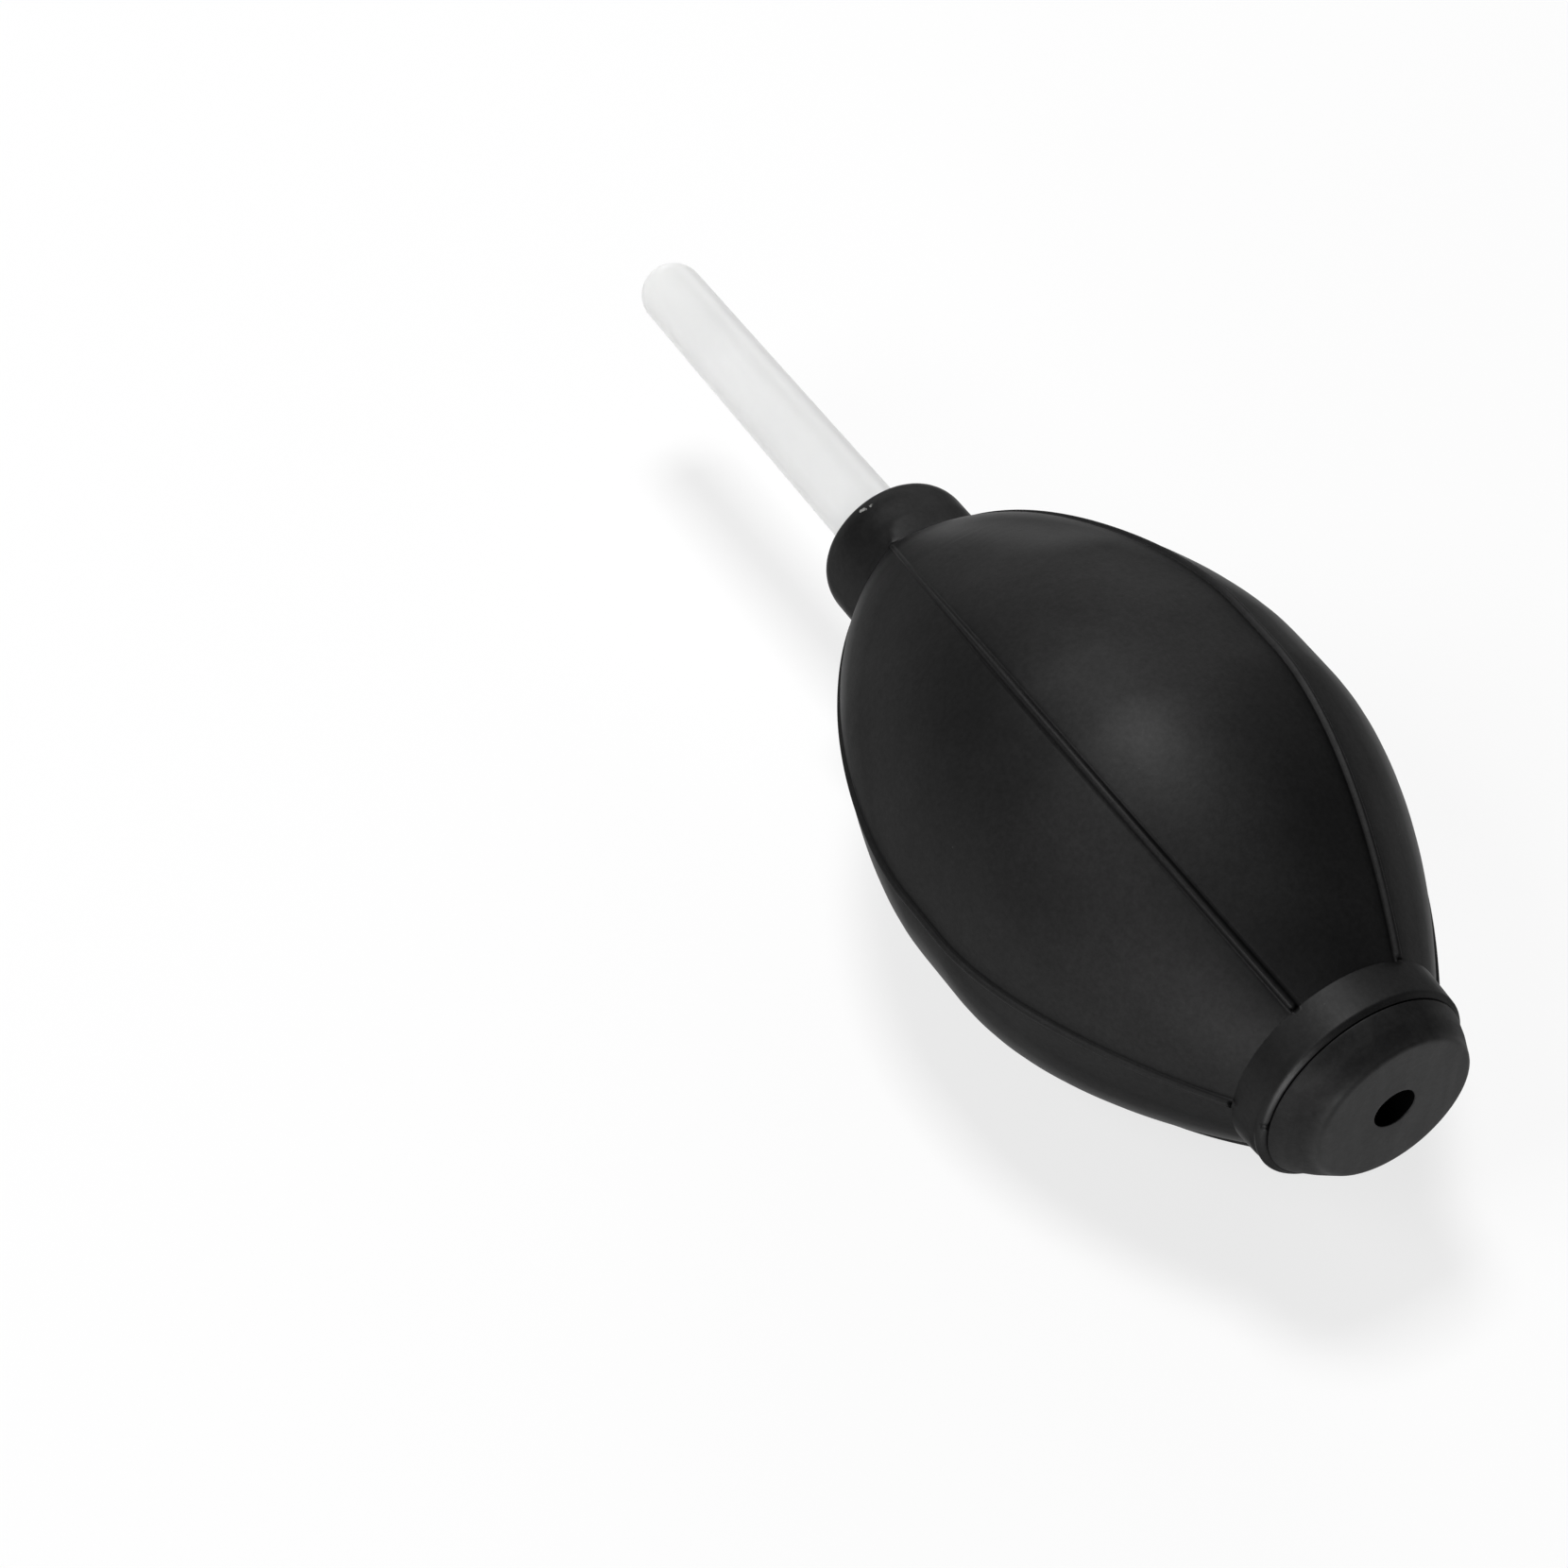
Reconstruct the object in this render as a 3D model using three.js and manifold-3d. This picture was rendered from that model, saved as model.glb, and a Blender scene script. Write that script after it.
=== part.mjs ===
// Hand blower for dusting watch parts: a ribbed rubber bulb with a push-in plastic nozzle at the
// front and a rubber end plug at the back, which carries the intake check valve.
// Millimetres. +X runs along the axis from the end plug to the nozzle's tip, +Z is up. The blower
// lies on its belly, and the origin is on the bench, under the middle of its bounding box.
// In every outline below, the first number is the distance from the end plug's outer face along
// the axis, and the second is the radius.
import * as THREE from 'three';
import { mergeVertices } from 'three/addons/utils/BufferGeometryUtils.js';
import Module from 'manifold-3d';

// Overall
const LENGTH = 131;
const CLEARANCE = 0.3;

// Bulb
const BELLY_RADIUS = 23.5;
const BELLY_FROM = 37.3;
const BELLY_TO = 43.3;
const REST_FLATTENING = 0.35;
const WALL = 2.4;
const GORES = 6;
const BULB_SIDES = 36;
const REAR_SLOPE = THREE.MathUtils.degToRad(36);
const SHOULDER_SLOPE = THREE.MathUtils.degToRad(50);

// How far each end of the two outer curves runs on in its own direction before it bends
const REAR_REACH = 12;
const BELLY_REAR_REACH = 8.8;
const BELLY_FRONT_REACH = 9;
const SHOULDER_REACH = 12.5;

// Tail collar, the thick mouth that grips the end plug
const COLLAR_BACK = 3.7;
const COLLAR_FRONT = 7.9;
const COLLAR_RADIUS = 11.2;
const COLLAR_DRAFT = 0.2;
const COLLAR_EDGE = 0.7;
const COLLAR_BORE = 7.9;
const CHAMBER_BACK = 10.3;

// Neck, the thick mouth that grips the nozzle
const NECK_BACK = 77.3;
const NECK_FRONT = 85.2;
const NECK_RADIUS = 7.9;
const NECK_ROUND_LENGTH = 3.2;
const NECK_ROUND_DEPTH = 2.4;
const NECK_BORE = 4;
const NECK_GROOVE_DEPTH = 0.3;
const CHAMBER_FRONT = 75.6;

// Ribs over the joints between the gores
const RIB_WIDTH = 0.9;
const RIB_NECK_WIDTH = 0.45;
const RIB_HEIGHT = 0.45;
const RIB_FADE = 0.55;
const RIB_ROOT = 1;

// Nozzle
const NOZZLE_ROOT = 76.2;
const NOZZLE_BASE_RADIUS = 3.7;
const NOZZLE_TIP_RADIUS = 3.4;
const OUTLET_RADIUS = 1;
const NOZZLE_BORE = 2.1;
const FLANGE_RADIUS = 4.3;
const FLANGE_THICKNESS = 0.9;
const BARB_HEIGHT = 0.25;
const BARB_FROM = 77.6;
const BARB_TO = 79.4;

// End plug
const CAP_RADIUS = 10.2;
const CAP_EDGE_RADIUS = 8.6;
const CAP_FACE_RADIUS = 7.4;
const CAP_EDGE_DEPTH = 0.8;
const INTAKE_RADIUS = 2.2;
const INTAKE_DEPTH = 2.9;
const PLUG_LIP_RADIUS = 8.9;
const PLUG_END = 12;
const SOCKET_RADIUS = 4.5;
const SOCKET_END = 9.7;
const SOCKET_MOUTH_RADIUS = 3.7;

// Intake check valve
const VALVE_END = 9.4;
const SEAT_WALL = 0.9;
const SEAT_RING = 0.3;
const SEAT_RING_WIDTH = 0.5;
const PORT_RADIUS = 1.6;
const VALVE_CHAMBER_RADIUS = 3.3;
const DISC_RADIUS = 2.8;
const DISC_THICKNESS = 0.7;
const DISC_LIFT = 1.4;
const RETAINER_RADIUS = 3.5;
const RETAINER_THICKNESS = 0.9;
const RETAINER_HOLES = 4;
const RETAINER_HOLE_RADIUS = 0.7;
const RETAINER_HOLE_CIRCLE = 1.85;

const SMALL_SIDES = 24;

const wasm = await Module();
wasm.setup();

const point = (along, radius) => new THREE.Vector2(along, radius);

// Quarter round from one outline point to another, bulging towards the corner they share.
function quarterRound(from, to, corner, steps) {
  return new THREE.QuadraticBezierCurve(from, corner, to).getPoints(steps);
}

// Points of a curve pushed out square to it; depth is a distance, or a function of 0 to 1.
function offsetCurve(curve, steps, depth) {
  const points = [];
  for (let i = 0; i <= steps; i += 1) {
    const t = i / steps;
    const tangent = curve.getTangent(t);
    const distance = typeof depth === 'function' ? depth(t) : depth;
    const normal = point(-tangent.y, tangent.x).multiplyScalar(distance);
    points.push(curve.getPoint(t).add(normal));
  }
  return points;
}

// Solid of revolution about the axis from a closed outline, with a flat facing straight up.
function revolve(outline, sides) {
  const profile = outline.map((p) => point(p.y, p.x));
  profile.push(profile[0].clone());
  const geometry = new THREE.LatheGeometry(profile, sides, Math.PI / sides, 2 * Math.PI);
  geometry.rotateZ(-Math.PI / 2);
  return geometry;
}

function toSolid(geometry) {
  const plain = geometry.clone();
  plain.deleteAttribute('normal');
  plain.deleteAttribute('uv');
  const merged = mergeVertices(plain, 1e-4);
  const vertProperties = new Float32Array(merged.attributes.position.array);
  const triVerts = new Uint32Array(merged.index.array);
  return new wasm.Manifold(new wasm.Mesh({ numProp: 3, vertProperties, triVerts }));
}

function toGeometry(solid) {
  const mesh = solid.getMesh();
  const geometry = new THREE.BufferGeometry();
  geometry.setAttribute('position', new THREE.BufferAttribute(mesh.vertProperties, 3));
  geometry.setIndex(new THREE.BufferAttribute(mesh.triVerts, 1));
  geometry.computeVertexNormals();
  return geometry;
}

const blower = new THREE.Group();
blower.position.set(-LENGTH / 2, 0, BELLY_RADIUS - REST_FLATTENING);

function addPart(name, geometry, color, roughness) {
  const material = new THREE.MeshStandardMaterial({ color, roughness, metalness: 0 });
  const mesh = new THREE.Mesh(geometry, material);
  mesh.name = name;
  blower.add(mesh);
}

const BLACK_RUBBER = 0x222324;
const CLEAR_PLASTIC = 0xe4e5e6;
const BLACK_PLASTIC = 0x151516;

// The bulb's outside behind and in front of the short level belly.
const rearCurve = new THREE.CubicBezierCurve(
  point(COLLAR_FRONT, COLLAR_RADIUS),
  point(
    COLLAR_FRONT + REAR_REACH * Math.cos(REAR_SLOPE),
    COLLAR_RADIUS + REAR_REACH * Math.sin(REAR_SLOPE),
  ),
  point(BELLY_FROM - BELLY_REAR_REACH, BELLY_RADIUS),
  point(BELLY_FROM, BELLY_RADIUS),
);
const frontCurve = new THREE.CubicBezierCurve(
  point(BELLY_TO, BELLY_RADIUS),
  point(BELLY_TO + BELLY_FRONT_REACH, BELLY_RADIUS),
  point(
    NECK_BACK - SHOULDER_REACH * Math.cos(SHOULDER_SLOPE),
    NECK_RADIUS + SHOULDER_REACH * Math.sin(SHOULDER_SLOPE),
  ),
  point(NECK_BACK, NECK_RADIUS),
);

function bulbOutside() {
  const lip = COLLAR_RADIUS - COLLAR_DRAFT;
  return [
    ...quarterRound(
      point(COLLAR_BACK, lip - COLLAR_EDGE),
      point(COLLAR_BACK + COLLAR_EDGE, lip),
      point(COLLAR_BACK, lip),
      2,
    ),
    ...rearCurve.getPoints(8),
    ...frontCurve.getPoints(9),
    ...quarterRound(
      point(NECK_FRONT - NECK_ROUND_LENGTH, NECK_RADIUS),
      point(NECK_FRONT, NECK_RADIUS - NECK_ROUND_DEPTH),
      point(NECK_FRONT, NECK_RADIUS),
      4,
    ),
  ];
}

// Back along the inside: the neck's bore with a groove for the nozzle's barb, the air chamber,
// and the collar's bore.
function bulbInside() {
  const groove = NECK_BORE + NECK_GROOVE_DEPTH;
  const chamber = [
    ...offsetCurve(rearCurve, 6, -WALL),
    ...offsetCurve(frontCurve, 7, -WALL),
  ].filter((p) => p.x > CHAMBER_BACK + 0.5 && p.x < CHAMBER_FRONT - 1.5);
  const first = chamber[0];
  const last = chamber[chamber.length - 1];
  return [
    point(NECK_FRONT, NECK_BORE),
    point(BARB_TO + CLEARANCE, NECK_BORE),
    point(BARB_TO + CLEARANCE, groove),
    point(BARB_TO - 0.2, groove),
    point(BARB_FROM - CLEARANCE, NECK_BORE),
    point(CHAMBER_FRONT, NECK_BORE),
    point(CHAMBER_FRONT - 0.4, last.y - 3),
    ...chamber.reverse(),
    point(CHAMBER_BACK, first.y - 1.2),
    point(CHAMBER_BACK, COLLAR_BORE),
    point(COLLAR_BACK, COLLAR_BORE),
  ];
}

// One rib as a plate in its own meridian, sunk in the wall. It grows lower and narrower along the
// front shoulder.
function ribPlate() {
  const fade = (t) => RIB_HEIGHT * (1 - RIB_FADE * THREE.MathUtils.smoothstep(t, 0.2, 1));
  const top = [
    ...offsetCurve(rearCurve, 8, RIB_HEIGHT),
    ...offsetCurve(frontCurve, 9, fade),
  ];
  const root = [...offsetCurve(rearCurve, 4, -RIB_ROOT), ...offsetCurve(frontCurve, 5, -RIB_ROOT)];
  const shape = new THREE.Shape([...root, ...top.reverse()]);
  const plate = new THREE.ExtrudeGeometry(shape, { depth: RIB_WIDTH, bevelEnabled: false });
  plate.translate(0, 0, -RIB_WIDTH / 2);
  const { position } = plate.attributes;
  for (let i = 0; i < position.count; i += 1) {
    const share = THREE.MathUtils.smoothstep(position.getX(i), BELLY_TO, NECK_BACK);
    const width = THREE.MathUtils.lerp(RIB_WIDTH, RIB_NECK_WIDTH, share);
    position.setZ(i, (position.getZ(i) * width) / RIB_WIDTH);
  }
  return plate;
}

// The soft belly is pressed flat where it lies on the bench.
function makeBulb() {
  let bulb = toSolid(revolve([...bulbOutside(), ...bulbInside()], BULB_SIDES));
  for (let gore = 0; gore < GORES; gore += 1) {
    const rib = ribPlate().rotateX(((gore + 0.5) * 2 * Math.PI) / GORES + Math.PI / 2);
    bulb = bulb.add(toSolid(rib));
  }
  return toGeometry(bulb.trimByPlane([0, 0, 1], REST_FLATTENING - BELLY_RADIUS));
}

// Tapered tube with a rounded tip, a thin flange against the neck and a barb inside it.
function makeNozzle() {
  const flangeBack = NECK_FRONT + CLEARANCE;
  const tipCentre = LENGTH - Math.sqrt(NOZZLE_TIP_RADIUS ** 2 - OUTLET_RADIUS ** 2);
  const tip = [];
  const lastAngle = Math.acos(OUTLET_RADIUS / NOZZLE_TIP_RADIUS);
  const tipSteps = 5;
  for (let i = 0; i <= tipSteps; i += 1) {
    const angle = (lastAngle * i) / tipSteps;
    tip.push(
      point(
        tipCentre + NOZZLE_TIP_RADIUS * Math.sin(angle),
        NOZZLE_TIP_RADIUS * Math.cos(angle),
      ),
    );
  }
  return revolve(
    [
      point(NOZZLE_ROOT, NOZZLE_BASE_RADIUS - 0.3),
      point(NOZZLE_ROOT + 0.5, NOZZLE_BASE_RADIUS),
      point(BARB_FROM + 0.3, NOZZLE_BASE_RADIUS),
      point(BARB_TO, NOZZLE_BASE_RADIUS + BARB_HEIGHT),
      point(BARB_TO, NOZZLE_BASE_RADIUS),
      point(flangeBack, NOZZLE_BASE_RADIUS),
      point(flangeBack, FLANGE_RADIUS),
      point(flangeBack + FLANGE_THICKNESS, FLANGE_RADIUS),
      point(flangeBack + FLANGE_THICKNESS, NOZZLE_BASE_RADIUS),
      ...tip,
      point(LENGTH - 3, OUTLET_RADIUS),
      point(LENGTH - 12, NOZZLE_BORE),
      point(NOZZLE_ROOT, NOZZLE_BORE + 0.2),
    ],
    SMALL_SIDES,
  );
}

// Rubber plug: a conical cap outside, a shank in the collar's bore, a lip that snaps into the air
// chamber, and a socket that holds the valve.
function makeEndPlug() {
  const capBack = COLLAR_BACK - CLEARANCE;
  const shank = COLLAR_BORE - CLEARANCE;
  const lipBack = CHAMBER_BACK + CLEARANCE;
  return revolve(
    [
      point(0, INTAKE_RADIUS),
      ...quarterRound(
        point(0, CAP_FACE_RADIUS),
        point(CAP_EDGE_DEPTH, CAP_EDGE_RADIUS),
        point(0, CAP_EDGE_RADIUS - 0.3),
        3,
      ),
      point(capBack / 2, (CAP_RADIUS + CAP_EDGE_RADIUS) / 2 + 0.05),
      point(capBack, CAP_RADIUS),
      point(capBack, shank),
      point(lipBack, shank),
      point(lipBack, PLUG_LIP_RADIUS),
      point(PLUG_END, PLUG_LIP_RADIUS - 0.9),
      point(PLUG_END, SOCKET_MOUTH_RADIUS),
      point(SOCKET_END, SOCKET_MOUTH_RADIUS),
      point(SOCKET_END, SOCKET_RADIUS),
      point(INTAKE_DEPTH, SOCKET_RADIUS),
      point(INTAKE_DEPTH, INTAKE_RADIUS),
    ],
    BULB_SIDES,
  );
}

const valveBack = INTAKE_DEPTH + CLEARANCE;
const seatFace = valveBack + SEAT_WALL + SEAT_RING;
const discBack = seatFace + CLEARANCE;
const discFront = discBack + DISC_THICKNESS;
const retainerBack = discFront + DISC_LIFT + CLEARANCE;

// Cup with the seat at its closed end and a recess that holds the retainer.
function makeValveBody() {
  const recess = retainerBack - CLEARANCE;
  return revolve(
    [
      point(valveBack, PORT_RADIUS),
      point(valveBack, SOCKET_RADIUS - CLEARANCE),
      point(VALVE_END, SOCKET_RADIUS - CLEARANCE),
      point(VALVE_END, RETAINER_RADIUS + CLEARANCE),
      point(recess, RETAINER_RADIUS + CLEARANCE),
      point(recess, VALVE_CHAMBER_RADIUS),
      point(valveBack + SEAT_WALL, VALVE_CHAMBER_RADIUS),
      point(valveBack + SEAT_WALL, PORT_RADIUS + SEAT_RING_WIDTH),
      point(seatFace, PORT_RADIUS + SEAT_RING_WIDTH),
      point(seatFace, PORT_RADIUS),
    ],
    SMALL_SIDES,
  );
}

function makeValveDisc() {
  return revolve(
    [
      point(discBack, 0),
      point(discBack, DISC_RADIUS),
      point(discFront, DISC_RADIUS),
      point(discFront, 0),
    ],
    SMALL_SIDES,
  );
}

// Perforated plate that stops the disc and lets the air pass.
function makeRetainer() {
  const plate = new THREE.Shape();
  plate.absarc(0, 0, RETAINER_RADIUS, 0, 2 * Math.PI);
  for (let i = 0; i < RETAINER_HOLES; i += 1) {
    const angle = (i * 2 * Math.PI) / RETAINER_HOLES;
    const hole = new THREE.Path();
    const across = RETAINER_HOLE_CIRCLE * Math.cos(angle);
    const up = RETAINER_HOLE_CIRCLE * Math.sin(angle);
    hole.absarc(across, up, RETAINER_HOLE_RADIUS, 0, 2 * Math.PI, true);
    plate.holes.push(hole);
  }
  const settings = { depth: RETAINER_THICKNESS, bevelEnabled: false, curveSegments: 12 };
  const geometry = new THREE.ExtrudeGeometry(plate, settings);
  return geometry.rotateY(Math.PI / 2).translate(retainerBack, 0, 0);
}

addPart('bulb', makeBulb(), BLACK_RUBBER, 0.6);
addPart('nozzle', makeNozzle(), CLEAR_PLASTIC, 0.35);
addPart('end_plug', makeEndPlug(), BLACK_RUBBER, 0.55);
addPart('valve_body', makeValveBody(), BLACK_PLASTIC, 0.5);
addPart('valve_disc', makeValveDisc(), BLACK_RUBBER, 0.7);
addPart('valve_retainer', makeRetainer(), BLACK_PLASTIC, 0.5);

export default blower;
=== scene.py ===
"""Looks of a hand blower for watch work: ribbed rubber bulb, rubber end plug with its intake
valve, and milky push-in nozzle. It lies on its belly on a pale bench.

An outline is a list of points in millimetres: (distance from the end plug's outer face along the
axis, distance from the axis). A third number is the radius of the corner there. Angles round the
axis are in radians, from straight up towards +Y.
"""

import math

import bmesh
import bpy
from mathutils import Euler, Matrix, Vector, noise


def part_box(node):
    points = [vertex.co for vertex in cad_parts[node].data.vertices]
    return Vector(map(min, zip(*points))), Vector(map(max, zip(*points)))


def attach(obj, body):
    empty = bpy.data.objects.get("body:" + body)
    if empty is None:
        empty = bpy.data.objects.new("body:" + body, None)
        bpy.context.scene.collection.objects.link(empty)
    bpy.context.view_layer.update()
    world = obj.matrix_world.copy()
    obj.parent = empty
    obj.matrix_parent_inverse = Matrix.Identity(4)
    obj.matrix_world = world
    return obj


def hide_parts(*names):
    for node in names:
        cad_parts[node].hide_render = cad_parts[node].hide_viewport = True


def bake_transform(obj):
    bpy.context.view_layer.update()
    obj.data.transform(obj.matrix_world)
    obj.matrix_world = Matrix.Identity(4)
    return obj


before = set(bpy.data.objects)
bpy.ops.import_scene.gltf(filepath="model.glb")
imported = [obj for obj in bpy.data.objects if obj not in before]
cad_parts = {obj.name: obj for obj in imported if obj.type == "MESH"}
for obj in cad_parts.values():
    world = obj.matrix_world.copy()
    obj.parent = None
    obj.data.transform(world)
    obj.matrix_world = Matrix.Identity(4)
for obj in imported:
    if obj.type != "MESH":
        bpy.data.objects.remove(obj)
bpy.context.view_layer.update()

MM = 0.001

# Where the blower's axis lies, from the CAD parts
TAIL_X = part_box("end_plug")[0].x
AXIS_Z = (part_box("nozzle")[0].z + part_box("nozzle")[1].z) / 2

# Overall, and the bulb's widest stretch
LENGTH = 131.0
BELLY_RADIUS = 23.5
BELLY_FROM = 37.3
BELLY_TO = 43.3
WALL = 2.4

# Collar and air chamber
COLLAR_BACK = 3.7
COLLAR_FRONT = 7.9
COLLAR_RADIUS = 11.2
COLLAR_DRAFT = 0.2
COLLAR_EDGE = 0.42
COLLAR_BORE = 7.9
CHAMBER_BACK = 10.3
CHAMBER_FRONT = 75.6

# Neck, with the groove in its bore that holds the nozzle's barb
NECK_BACK = 77.3
NECK_FRONT = 85.2
NECK_RADIUS = 7.9
NECK_ROUND_LENGTH = 3.2
NECK_ROUND_DEPTH = 2.4
NECK_BORE = 4.0
GROOVE_RADIUS = 4.3
GROOVE_FROM = 77.3
GROOVE_DEEPEST = 79.2
GROOVE_TO = 79.7

# Slopes of the bulb's two outer curves at the collar and at the neck, and how far each end of a
# curve runs on in its own direction before it bends
REAR_SLOPE = math.radians(36)
SHOULDER_SLOPE = math.radians(50)
REAR_REACH = 12.0
BELLY_REAR_REACH = 8.8
BELLY_FRONT_REACH = 9.0
SHOULDER_REACH = 12.5

# Ribs, which get lower and narrower towards the neck
RIBS = 6
FIRST_RIB_DEGREES = 30
RIB_HEIGHT = 0.4
RIB_NECK_SHARE = 0.5
RIB_FADE_FROM = 50.0
RIB_FADE_TO = 76.0
RIB_FADED = 0.45

# Columns across half a rib, as distances in millimetres from its middle, and the share of the
# rib's height there. The last ones are a shallow valley, with shade painted where it is deepest.
RIB_PROFILE = [
    (0.0, 1.0),
    (0.08, 0.98),
    (0.15, 0.92),
    (0.21, 0.82),
    (0.26, 0.69),
    (0.31, 0.53),
    (0.355, 0.38),
    (0.4, 0.23),
    (0.445, 0.1),
    (0.5, 0.0),
    (0.57, -0.06),
    (0.65, -0.07),
    (0.78, -0.03),
    (0.95, 0.0),
]
RIB_COLUMNS = [(-d, height) for d, height in reversed(RIB_PROFILE[1:])] + RIB_PROFILE
# Where shade is painted in the valley beside a rib, as distances from the rib's middle
SHADE_FROM = 0.39
SHADE_TO = 0.66

# Columns between two ribs, and how much flatter than a circle the skin is halfway, in millimetres
GORE_COLUMNS = 14
GORE_FLATNESS = 0.32

# Where the marks on the skin are, round the axis
SCAR_RIB = math.radians(FIRST_RIB_DEGREES)
RIPPLES_AT = math.radians(12)
SIDE_RIPPLES_AT = math.radians(48)
LIP_SHINE_AT = math.radians(60)
NICK_AT = math.radians(86)
LOW_SIDE = math.radians(122)

# Along the axis: where the band of painted highlight on the front shoulder starts, is full, fades
# and ends, and the same for the mould ripples there
BAND = (56, 61, 73, 76)
RIPPLES = (62.5, 64.5, 68, 70)

# How the band turns round the axis: degrees a millimetre, and degrees at the plug's face
BAND_TURN = 1.4
BAND_START = -94

# How much highlight is painted on the band and the torn flash, and how far past the neck's root
# the flash's painted highlight lies
BAND_SHINE = 0.12
FLASH_SHINE = 0.16
FLASH_SHINE_AT = 1.1

# The ripples, in millimetres
RIPPLE_HEIGHT = 0.035
RIPPLE_PITCH = 1.1

# Plug: its intake hole, how much sheen is painted on its face, how much shade is painted in its
# hole, and how its cap leans in millimetres
INTAKE_RADIUS = 2.2
FACE_SHEEN = 0.15
HOLE_SHADE = 0.95
CAP_LEAN = Vector((0, -0.75, 0.4))

# Nozzle
NOZZLE_BACK = 76.2
NOZZLE_RADIUS = 3.7
BARB_RADIUS = 3.95
BARB_TO = 79.4
FLANGE_RADIUS = 4.3
FLANGE_FROM = 85.5
FLANGE_TO = 86.4
TIP_RADIUS = 3.4
OUTLET_RADIUS = 1.0

# Longest pieces of the bulb's outline, in millimetres: where the lip and the torn flash are,
# elsewhere outside, and inside
FINE_STEP = 0.2
SKIN_STEP = 0.55
INSIDE_STEP = 1.8

# How finely corners and round ends are cut, and the most of a run that a corner takes
CORNER_STEPS = 5
RIM_STEPS = 10
TIP_STEPS = 16
CORNER_SHARE = 0.48


# ---------------------------------------------------------------- numbers


def smooth(value, low, high):
    """Rises from 0 at the low value to 1 at the high one."""
    t = min(1.0, max(0.0, (value - low) / (high - low)))
    return t * t * (3 - 2 * t)


def window(value, start, full, fall, end):
    """1 between full and fall, and 0 before start and after end."""
    return smooth(value, start, full) * (1 - smooth(value, fall, end))


def hump(value, width):
    """1 at 0, falling away on both sides."""
    return math.exp(-((value / width) ** 2))


def aside(angle, middle):
    """The turn from one angle to another, between half a turn back and half a turn on."""
    return (angle - middle + math.pi) % (2 * math.pi) - math.pi


# ---------------------------------------------------------------- outlines and meshes


def curve(p0, p1, p2, p3, steps):
    """Points of a cubic Bezier curve."""
    points = []
    for i in range(steps + 1):
        t = i / steps
        weights = ((1 - t) ** 3, 3 * (1 - t) ** 2 * t, 3 * (1 - t) * t * t, t**3)
        pulls = list(zip(weights, (p0, p1, p2, p3)))
        points.append(tuple(sum(w * p[k] for w, p in pulls) for k in (0, 1)))
    return points


def quarter_round(along, radius, length, depth):
    """A rim rounded as a quarter of an ellipse: it ends at along, where the radius is less by the
    depth, and starts a length before that."""
    turns = [math.pi / 2 * i / RIM_STEPS for i in range(RIM_STEPS + 1)]
    return [
        (along - length * (1 - math.sin(t)), radius - depth * (1 - math.cos(t))) for t in turns
    ]


def rounded(outline, step, closed=True):
    """The outline with its corners rounded and its long runs cut into short ones. The step is a
    length, or a function of the distance along the axis."""
    points = []
    for i, entry in enumerate(outline):
        here = Vector(entry[:2])
        if len(entry) == 2:
            points.append(here)
            continue
        before = Vector(outline[i - 1][:2]) - here
        after = Vector(outline[(i + 1) % len(outline)][:2]) - here
        reach = min(
            entry[2] / math.tan(before.angle(after) / 2),
            CORNER_SHARE * before.length,
            CORNER_SHARE * after.length,
        )
        start = here + before.normalized() * reach
        end = here + after.normalized() * reach
        for k in range(CORNER_STEPS + 1):
            t = k / CORNER_STEPS
            points.append(start.lerp(here, t).lerp(here.lerp(end, t), t))
    runs = zip(points, points[1:] + points[:1]) if closed else zip(points, points[1:])
    cut = []
    for a, b in runs:
        longest = step(a.x) if callable(step) else step
        pieces = max(1, math.ceil((b - a).length / longest))
        cut += [a.lerp(b, k / pieces) for k in range(pieces)]
    if not closed:
        cut.append(points[-1])
    return cut


def offset_inside(points, depth):
    """A run of outline points moved towards the axis, square to the run."""
    moved = []
    for i, p in enumerate(points):
        ahead = Vector(points[min(i + 1, len(points) - 1)])
        behind = Vector(points[max(i - 1, 0)])
        tangent = (ahead - behind).normalized()
        moved.append((p[0] + tangent.y * depth, p[1] - tangent.x * depth))
    return moved


def place(along, radius, angle):
    """A point in the shared frame, in metres, from millimetres along and away from the axis."""
    return Vector(
        (
            TAIL_X + along * MM,
            radius * MM * math.sin(angle),
            AXIS_Z + radius * MM * math.cos(angle),
        )
    )


def grid_faces(rows, width):
    """Four-sided faces of a grid that closes on itself both ways."""
    faces = []
    for i in range(rows):
        a, b = i * width, (i + 1) % rows * width
        for c in range(width):
            d = (c + 1) % width
            faces.append((a + c, b + c, b + d, a + d))
    return faces


def new_piece(name, vertices, faces, material):
    """A smooth piece that remembers, as "rest", where each of its points is at rest."""
    mesh = bpy.data.meshes.new(name)
    mesh.from_pydata(vertices, [], faces)
    mesh.update()
    work = bmesh.new()
    work.from_mesh(mesh)
    bmesh.ops.remove_doubles(work, verts=work.verts, dist=1e-7)
    bmesh.ops.recalc_face_normals(work, faces=work.faces)
    for face in work.faces:
        face.smooth = True
    work.to_mesh(mesh)
    work.free()
    piece = bpy.data.objects.new(name, mesh)
    bpy.context.scene.collection.objects.link(piece)
    mesh.materials.append(material)
    rest = mesh.attributes.new("rest", "FLOAT_VECTOR", "POINT")
    rest.data.foreach_set("vector", [x for v in mesh.vertices for x in v.co])
    return piece


def store_marks(piece, painted_sheens, painted_shades):
    """Keeps how much highlight and how much shade is painted at each point, from 0 to 1, for the
    rubber material.
    """
    for name, values in (("painted_sheen", painted_sheens), ("painted_shade", painted_shades)):
        piece.data.attributes.new(name, "FLOAT", "POINT").data.foreach_set("value", values)


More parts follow.
